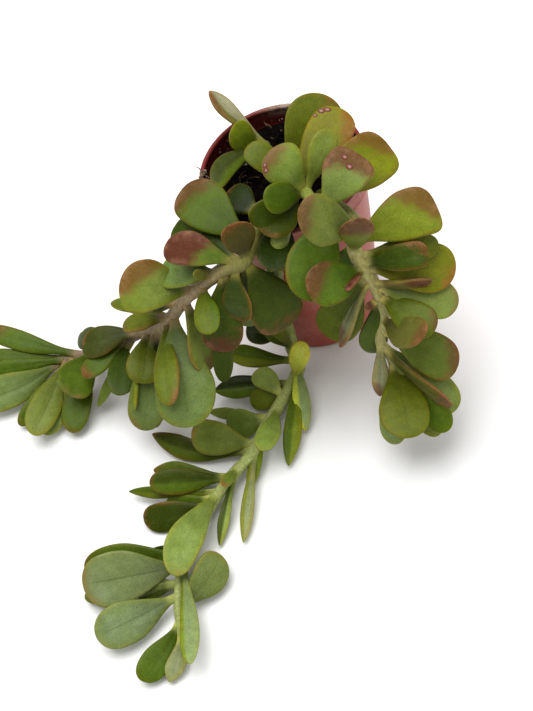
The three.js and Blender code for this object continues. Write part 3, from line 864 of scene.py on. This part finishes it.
lowerLeaves = [
    leaf(0.08, 2.5, -42, 114, 17, 0, "dark", bow=2),
    leaf(0.56, -6, 8, 18, 11.5, 0, "sage", sway=-1),
    leaf(0.52, 17.5, -6.75, 38, 10, 0, "bright"),
    pointed(0.48, 19.5, 38, 4, 9, 0, "bright", half="milk", split=-0.3),
    pointed(0.5, 11, 55, 4, 9, 0, "green", half="lime"),
    pointed(0.49, -22.25, -2.25, 24, 11, 10, "green", 0, 0.24, 0.1, bow=-2, sway=1.2, groove=0.6,
            half="lime"),
    leaf(0.44, -10.25, -12.75, 30, 14, 10, "dark", edge=0.08),
    pointed(0.53, -26, 17.5, 8, 12, 20, "dark", groove=0.6, half="green"),
    pointed(0.6, -29, 28, 6, 6, 0, "spring", edge=0.08),
    leaf(0.54, -8, 24, 6, 11, 0, "olive", edge=0.08),
    leaf(0.58, -3, 47.5, 24, 11, 0, "sage", 0.1, 0.16, sway=0.6),
    leaf(0.6, -20, 35, 5, 15, 0, "spring"),
    leaf(0.65, -37.5, 38, 17, 17.5, 0, "spring", 0.15, 0.24, 0.3, sway=1),
    pointed(0.66, -57, 39.25, 6, 11.5, 0, "deep", 0.1, 0.4, 0.35, sway=5, half="green"),
    pointed(0.72, -56.5, 57.25, 9, 10.5, 0, "green", 0.2, 0.24, 0.6),
    leaf(0.72, -58.5, 63.75, 16, 13, 0, "deep", 0.1, 0.44, 0.3, half="green"),
    pointed(0.75, -69, 68, 6, 6, 0, "green", 0.1, 0.3, half="olive"),
    leaf(0.76, -50, 74, 4, 8, 0, "green", edge=0.16),
    leaf(0.77, -61.25, 82.25, 4, 14.5, 0, "deep", 0.15, 0.44, 0.3, sway=1),
    leaf(0.75, -47.75, 109.75, 18, 17, 0, "sage", 0.05, 0.16, bow=3, sway=-2.7),
    leaf(0.7, -22.5, 65, 20, 6, 0, "spring", 0.3, 0.16, 0.3, bow=0),
    pointed(0.71, -23.5, 95, 3, 5.5, 0, "deep", sway=-0.5, half="sage"),
    pointed(0.66, -11.5, 93.75, 3, 6.5, 0, "lime", half="milk", split=-0.35),
    leaf(0.62, -8.5, 66, 3, 6, 0, "lime"),
    leaf(0.88, -92, 114.5, 14, 26, 0, "pale", 0.1, 0.16, bow=3.2, groove=0.7),
    leaf(0.86, -91, 107, 5, 19, 0, "green", 0.1, 0.16, bow=0),
    leaf(0.85, -58.25, 99.75, 5, 7, 0, "dark", edge=0.08),
    leaf(0.93, -85.25, 140.75, 12, 20.5, 0, "pale", 0.05, 0.16, groove=0.7),
    leaf(0.91, -91, 121, 5, 10, 0, "blue", edge=0.16, bow=-1),
    leaf(0.91, -66, 118, 5, 12, 0, "dusk", 0.1, 0.08, bow=-1),
    leaf(0.97, -63, 162.5, 6, 14, 0, "green", 0.05, 0.16, sway=1.5, groove=0.3),
    pointed(0.99, -48.5, 163.5, 3, 9, 0, "milk", sway=0.7),
    leaf(0.88, -38.25, 154.5, 16, 9, 0, "lime", sway=1, half="milk", split=-0.55),
    leaf(0.95, -22.75, 99.75, 10, 17, 0, "blue", 0.05, sway=-2, groove=0.4),
    leaf(0.47, -1.75, -15.75, 46, 9, 0, "olive", edge=0.08, half="deep", split=0.3),
    # three dark leaves fill the shaded gap between the runners, as painted shade
    leaf(0.23, -9, -30, 80, 11, 0, "dark", edge=0),
    leaf(0.29, -13, -20, 56, 11, 0, "dark", edge=0),
    leaf(0.34, -6, -12, 44, 11, 0, "dark", edge=0),
]

lower = dict(
    name="lower_runner",
    slot="pale_leaf",
    hole=(-4, -21),
    thick=9,
    thin=4.4,
    barkStart=(126, 138, 66),
    barkEnd=(150, 160, 98),
    barkFade=(0.3, 0.6),
    rust=0.1,
    route=[
        (9, -69, 109), (7, -59, 115), (4, -47, 104), (5, -34, 74), (8, -22, 46), (12, -7, 20),
        (16, 6, 10), (8, 22, 8), (-1, 37, 8), (-8, 50, 8), (-17, 60, 8), (-26, 72, 8),
        (-33, 85, 8), (-41, 102, 8), (-44, 122, 7), (-42, 142, 6),
    ],
    leaves=lowerLeaves,
)

for shoot in (crown, sprout, left, right, lower):
    makeShoot(shoot)


# Pot

pot = dict(
    height=108,
    rim=40.5,  # radius
    foot=31,
    collar=12,  # depth
    collarStep=2.4,
    wall=1.6,
    floor=2,
    bead=1.2,
    heel=1.5,
    sides=160,
    wobble=(0.0018, 0.0012),  # how far from round it is, in two and in five waves
    drainHoles=6,
    drainRadius=3,
    drainRing=20,
    plastic=(164, 80, 66),
    faded=(174, 100, 86),
    # the plastic inside, painted much darker: its own colour deepened by painted shade
    inside=(86, 24, 20),
    lip=(112, 34, 32),
    lime=(208, 176, 164),
    limeShare=(0.12, 0.5),  # low on the wall, and at the collar
    crust=(164, 146, 130),
    crustAt=62,  # degrees round the rim, anticlockwise from +X
    crustReach=(34, 10),  # degrees from there where it ends and is full
    dust=0.3,
    roughness=(0.4, 0.85),  # of bare plastic, and under lime
    sheen=0.4,
)


def potProfile():
    # radius, height, inside share and lip share, from under the foot round to the floor
    rim, foot, heel, bead, floor = [pot[key] for key in ("rim", "foot", "heel", "bead", "floor")]
    body, collarFoot = rim - pot["collarStep"], pot["height"] - pot["collar"]
    rows = [(foot - 6, 0, 0, 0), (foot - 5, 0.4, 0, 0), (foot - 3, 0.4, 0, 0)]
    rows.append((foot - heel, 0, 0, 0))
    for bend in np.radians(np.linspace(0, 90, 5)):
        rows.append((foot - heel + heel * math.sin(bend), heel * (1 - math.cos(bend)), 0, 0))
    for share in np.linspace(0.04, 1, 26):
        rows.append((foot + (body - foot) * share, heel + (collarFoot - heel) * share, 0, 0))
    rows += [(body + 0.3, collarFoot + 0.08, 0, 0), (rim - 0.75, collarFoot + 0.3, 0, 0)]
    rows += [(rim - 0.3, collarFoot + 0.75, 0, 0.1), (rim - 0.25, collarFoot + 1.5, 0, 0)]
    for share in np.linspace(0.2, 1, 6):
        height = collarFoot + 1.5 + (pot["collar"] - 5) * share
        rows.append((rim - 0.5 + 0.15 * share, height, 0, 0))
    for turn in np.linspace(-50, 230, 17):
        bend = math.radians(turn)
        radius = rim - bead + bead * math.cos(bend)
        height = pot["height"] - bead + bead * math.sin(bend)
        rows.append((radius, height, smooth(turn, 80, 150), smooth(turn, -40, 10)))
    inner, top, low = rim - 2 * bead, body - pot["wall"], foot - pot["wall"]
    for share in (1, 0.75, 0.5, 0.25):
        rows.append((inner + 0.25, collarFoot + share * 7, 1, 0.2 * share))
    rows += [(inner + 0.1, collarFoot + 1.2, 1, 0), (top, collarFoot - 1, 1, 0)]
    for share in (0.8, 0.6, 0.4, 0.2):
        rows.append((low + (top - low) * share, floor + heel + share * (collarFoot - 6), 1, 0))
    rows += [(low, floor + heel, 1, 0), (low - heel, floor, 1, 0)]
    return np.array(rows, float)


def makePotMaterial():
    material, tree, shader = newMaterial("potPlastic")
    _, inside, height, lip, crusty = layer(tree, "place")
    broad, patchy = noise(tree, 45, 4, 0.6), noise(tree, 150, 5, 0.65)
    grain = noise(tree, 1100, 3, 0.7)
    colour = mix(ease(broad, 0.35, 0.7), shade(pot["plastic"]), shade(pot["faded"]))
    lime = ease(height, 0.72, 0.93, *pot["limeShare"])
    lime = times(lime, ease(patchy, 0.5, 0.64), ease(grain, 0.25, 0.6, 0.35, 0.8))
    colour = mix(lime, colour, shade(pot["lime"]))
    # painted shade: the inside of the pot is painted darker than the wall outside
    colour = mix(times(inside, 0.97), colour, shade(pot["inside"]))
    colour = mix(times(lip, 0.85), colour, shade(pot["lip"]))
    crust = times(ease(patchy, 0.34, 0.52), crusty)
    colour = mix(crust, colour, shade(pot["crust"]))
    dust = ease(grain, 0.6, 0.75, 0, pot["dust"])
    scale = plus(lime, crust)
    plug(shader.inputs, {
        "Base Color": mix(dust, colour, shade(pot["lime"])),
        "Roughness": ease(scale, 0, 0.6, *pot["roughness"]),
        "Specular IOR Level": pot["sheen"],
    })
    bumps(shader, (broad, 0.2, 0.001), (scale, 0.4, 0.0003), (grain, 0.12, 0.0002))
    return material


def drillHoles(piece):
    cores = []
    for angle in fullTurn(pot["drainHoles"]):
        ring = ringPoints(pot["drainRadius"], fullTurn(24), 0)
        ring = ring + ringPoints(pot["drainRing"], angle, 0)
        low, high = ring - 4 * up, ring + 6 * up
        cores.append(tube(np.stack([low, high]), high.mean(0)))
    drills = addMesh("drills", cores)
    cut = piece.modifiers.new("drain holes", "BOOLEAN")
    cut.operation, cut.object, cut.solver = "DIFFERENCE", drills, "EXACT"
    bpy.context.view_layer.update()
    evaluated = piece.evaluated_get(bpy.context.evaluated_depsgraph_get())
    cutMesh = bpy.data.meshes.new_from_object(evaluated)
    piece.modifiers.clear()
    piece.data = cutMesh
    bpy.data.objects.remove(drills)


def degreesFrom(angle, at):
    return np.abs((np.degrees(angle) - at + 180) % 360 - 180)


def makePot():
    radius, height, inside, lip = potProfile().T[..., None]
    angles = fullTurn(pot["sides"])
    slow, quick = pot["wobble"]
    wobble = 1 + slow * np.sin(2 * angles + 0.6) + quick * np.sin(5 * angles)
    crusty = smooth(height, 101, 107) * np.maximum(inside, lip)
    crusty = crusty * smooth(degreesFrom(angles, pot["crustAt"]), *pot["crustReach"])
    place = np.stack(np.broadcast_arrays(inside, height / pot["height"], lip, crusty), -1)
    part = tube(ringPoints(radius * wobble, angles, height), pot["floor"] * up, place=place)
    part["points"][-2] = (0, 0, 0)
    drillHoles(makePiece("pot_shell", [part], (makePotMaterial(),), "pot_plastic", "pot"))


makePot()


# Soil

soil = dict(
    level=96,
    bottom=4,
    gap=0.35,  # between the mix and the wall
    bump=1.3,
    bank=4,
    bankAt=85,  # degrees round, anticlockwise from +X
    sides=120,
    rows=44,
    crumbs=420,
    crumbSize=(0.35, 1.35),
    lumpSize=(1.2, 2),  # of every ninth crumb
    fibres=46,
    fibreLength=(2.5, 7),
    fibreRadius=(0.15, 0.32),
    seed=5,
    dark=(9, 6, 4),
    brown=(34, 23, 16),
    chaff=(150, 116, 82),
    grit=(184, 176, 162),
    gritDark=(150, 140, 126),
    tuft=(166, 146, 128),
    tuftDark=(96, 78, 66),
    roughness=0.92,
    sheen=0.1,
)


litter = dict(
    # across, down, height, spread, count, size, finish
    clumps=[
        (-31.8, -91, 108.4, (1.1, 1.1, 0.7), 26, 0.75, 3),  # a dried tuft on the lip
        (-30, -88, 107.4, (0.9, 1.2, 0.8), 12, 0.6, 3),
        (6.5, -118.8, 99.5, (0.8, 0.8, 0.3), 4, 0.5, 2),
        (3.2, -119.4, 99.5, (0.5, 0.5, 0.2), 3, 0.4, 2),
        (-23.5, -102, 101.5, (1.2, 0.8, 1.2), 5, 0.7, 1),  # bark caught on the wall
        (-20.5, -105, 101, (0.7, 0.7, 1.2), 4, 0.6, 1),
    ],
    # across, down, height, way in degrees, length, radius
    threads=[
        (-1.5, -118.5, 99.6, 250, 6, 0.35),
        (-0.5, -116, 99.2, 300, 5, 0.3),
        (2.5, -117, 99.4, 40, 4, 0.25),
        (-14, -88, 97.6, 30, 6, 0.3),
        (-10, -90, 97.4, 200, 5, 0.25),
        (-33, -93, 108.6, 120, 4, 0.3),
        (-30, -90, 108.6, 200, 4, 0.3),
    ],
)


def soilRadius(height):
    collarFoot = pot["height"] - pot["collar"]
    inset = pot["wall"] + soil["gap"]
    top, low = pot["rim"] - pot["collarStep"] - inset, pot["foot"] - inset
    return low + (top - low) * min(height / (collarFoot - 1), 1)


def soilTop(x, y):
    # broad rise and fall as in the solid, finer crumbs, and a low bank at the far wall
    broad = np.sin(x * 0.19 + 1) * np.cos(y * 0.23 - 0.5)
    fine = np.sin(x * 0.61 + y * 0.37) * np.cos(y * 0.71 - x * 0.29)
    crumbs = np.sin(x * 1.9 + 2 * np.sin(y * 1.1)) * np.sin(y * 2.3 + 2 * np.sin(x * 0.9))
    away = degreesFrom(np.arctan2(y, x), soil["bankAt"])
    bank = soil["bank"] * smooth(np.hypot(x, y), 14, 34) * smooth(away, 70, 20)
    return soil["level"] - 1.5 + soil["bump"] * (0.7 * broad + 0.6 * fine) + 0.28 * crumbs + bank


def makeSoilMaterial():
    material, tree, shader = newMaterial("soilMix")
    patchy, grain = noise(tree, 320, 6, 0.7), noise(tree, 1500, 4, 0.8)
    colour = mix(ease(patchy, 0.42, 0.7), shade(soil["dark"]), shade(soil["brown"]))
    colour = mix(ease(grain, 0.68, 0.82, 0, 0.3), colour, shade(soil["chaff"]))
    plug(shader.inputs, {
        "Base Color": colour,
        "Roughness": soil["roughness"],
        "Specular IOR Level": soil["sheen"],
    })
    bumps(shader, (patchy, 0.9, 0.0016), (grain, 0.8, 0.0006))
    return material


def makeLitterMaterial(name, light, dark):
    material, tree, shader = newMaterial(name)
    patchy = noise(tree, 700, 4, 0.7)
    colour = mix(ease(patchy, 0.3, 0.7), shade(dark), shade(light))
    plug(shader.inputs, {"Base Color": colour, "Roughness": 0.85})
    bumps(shader, (patchy, 0.6, 0.0005))
    return material


def lump(centre, size, random, finish):
    # an uneven crumb: a squashed ball with knocks in it
    polar = np.linspace(0.16, 0.84, 5)[:, None] * np.pi
    rings = ringPoints(np.sin(polar), fullTurn(8), -np.cos(polar))
    rings = rings * random.uniform(0.72, 1.25, (5, 8))[..., None]
    stretch = random.uniform(0.6, 1.25, 3) * size
    return tube(centre + rings * stretch, centre + up * stretch, finish)


def fibre(start, way, length, radius, random):
    # a thin curled thread that lies on the soil, its way in radians
    steps = np.linspace(0, 1, 9)[:, None]
    heading = ringPoints(1, way, 0)
    side = np.cross(up, heading)
    bend = random.uniform(-0.45, 0.45) * length
    lift = random.uniform(0.2, 1.6)
    path = start + heading * length * steps + side * bend * steps ** 2
    path = path + up * lift * np.sin(np.pi * steps)
    turn = fullTurn(6)[:, None]
    around = side * np.cos(turn) + up * np.sin(turn)
    rings = path[:, None] + around * (radius * (1 - 0.6 * steps))[..., None]
    return tube(rings, path[-1], 1)


def strewn(random, reach):
    # a place on the soil, and how far it is from the middle
    radius = reach * math.sqrt(random.uniform(0, 1))
    x, y, _ = ringPoints(radius, random.uniform(0, 2 * np.pi), 0)
    return np.array([x, y, soilTop(x, y)]), radius


def makeSoil():
    angles = fullTurn(soil["sides"])
    bottom, shoulder = soil["bottom"], soil["level"] - 4
    edge = soilRadius(soil["level"] - 2)
    rings = [ringPoints(soilRadius(bottom) - 1.5, angles, bottom)]
    rings.append(ringPoints(soilRadius(shoulder), angles, shoulder))
    for share in np.linspace(1, 0.02, soil["rows"]):
        ring = ringPoints(edge * share, angles, 0)
        ring[:, 2] = soilTop(ring[:, 0], ring[:, 1])
        rings.append(ring)
    parts = [tube(np.stack(rings), up * soilTop(0, 0))]
    random = np.random.default_rng(soil["seed"])
    for crumb in range(soil["crumbs"]):
        place, _ = strewn(random, edge * 0.96)
        size = random.uniform(*(soil["crumbSize"] if crumb % 9 else soil["lumpSize"]))
        finish = 2 if crumb % 60 == 7 else 1 if crumb % 11 == 0 else 0
        parts.append(lump(place + up * size * 0.2, size * (0.6 if finish else 1), random, finish))
    for _ in range(soil["fibres"]):
        place, radius = strewn(random, edge * 0.8)
        way = random.uniform(0, 2 * np.pi)
        length = min(random.uniform(*soil["fibreLength"]), edge - radius - 1)
        thick = random.uniform(*soil["fibreRadius"])
        parts.append(fibre(place + up * 0.2, way, length, thick, random))
    for across, down, height, spread, count, size, finish in litter["clumps"]:
        middle = sight(across, down, height)
        for _ in range(count):
            centre = middle + random.normal(0, 1, 3) * spread
            parts.append(lump(centre, size * random.uniform(0.5, 1.1), random, finish))
    for across, down, height, way, length, radius in litter["threads"]:
        parts.append(fibre(sight(across, down, height), math.radians(way), length, radius, random))
    chaff = makeLitterMaterial("soilChaff", soil["chaff"], soil["brown"])
    grit = makeLitterMaterial("soilGrit", soil["grit"], soil["gritDark"])
    tuft = makeLitterMaterial("driedTuft", soil["tuft"], soil["tuftDark"])
    makePiece("soil_mix", parts, (makeSoilMaterial(), chaff, grit, tuft), "potting_soil", "soil")


makeSoil()


# Room: a pale floor and soft light

room = dict(
    floor=(238, 238, 238),
    floorSize=6000,  # mm
    floorDrop=0.2,  # mm below the foot
    ambient=0.52,
    exposure=0.2,
    gamma=0.86,
    key=dict(place=(-0.15, 0.1, 1.7), size=1.6, watts=27),  # metres
    fill=dict(place=(0.9, -0.9, 1), size=1.2, watts=4),
)


def makeFloor():
    half = room["floorSize"] / 2
    corners = np.array([(-half, -half), (half, -half), (half, half), (-half, half)])
    corners = np.column_stack([corners, [-room["floorDrop"]] * 4])
    floor = addMesh("floor", [{"points": corners, "faces": [(0, 1, 2, 3)]}])
    material, tree, shader = newMaterial("floorPaper")
    plug(shader.inputs, {"Base Color": shade(room["floor"]), "Roughness": 0.9})
    floor.data.materials.append(material)
    floor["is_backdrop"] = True


def makeLight(name):
    look = room[name]
    lamp = bpy.data.lights.new(name, "AREA")
    lamp.shape, lamp.size, lamp.energy = "DISK", look["size"], look["watts"]
    holder = addToScene(name, lamp)
    holder.location = look["place"]
    way = Vector(viewpoint["middle"]) * mm - holder.location
    holder.rotation_euler = way.to_track_quat("-Z", "Y").to_euler()


def makeCamera():
    camera = addToScene("camera", bpy.data.cameras.new("camera"))
    turn = Matrix((acrossWay, -downWay, toViewer)).transposed()
    camera.matrix_world = Matrix.Translation(Vector(eye) * mm) @ turn.to_4x4()
    lens = camera.data
    lens.sensor_width = viewpoint["sensor"]
    lens.lens = viewpoint["focalPixels"] / viewpoint["longSide"] * viewpoint["sensor"]
    lens.clip_start, lens.clip_end = 0.01, 20
    scene.camera = camera


makeFloor()
makeLight("key")
makeLight("fill")
world = bpy.data.worlds.new("room")
world.use_nodes = True
sky = world.node_tree.nodes["Background"].inputs
sky["Color"].default_value, sky["Strength"].default_value = (1, 1, 1, 1), room["ambient"]
scene.world = world
view = scene.view_settings
view.view_transform, view.exposure, view.gamma = "Standard", room["exposure"], room["gamma"]
makeCamera()
print("room, lights and camera ready")

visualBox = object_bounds()
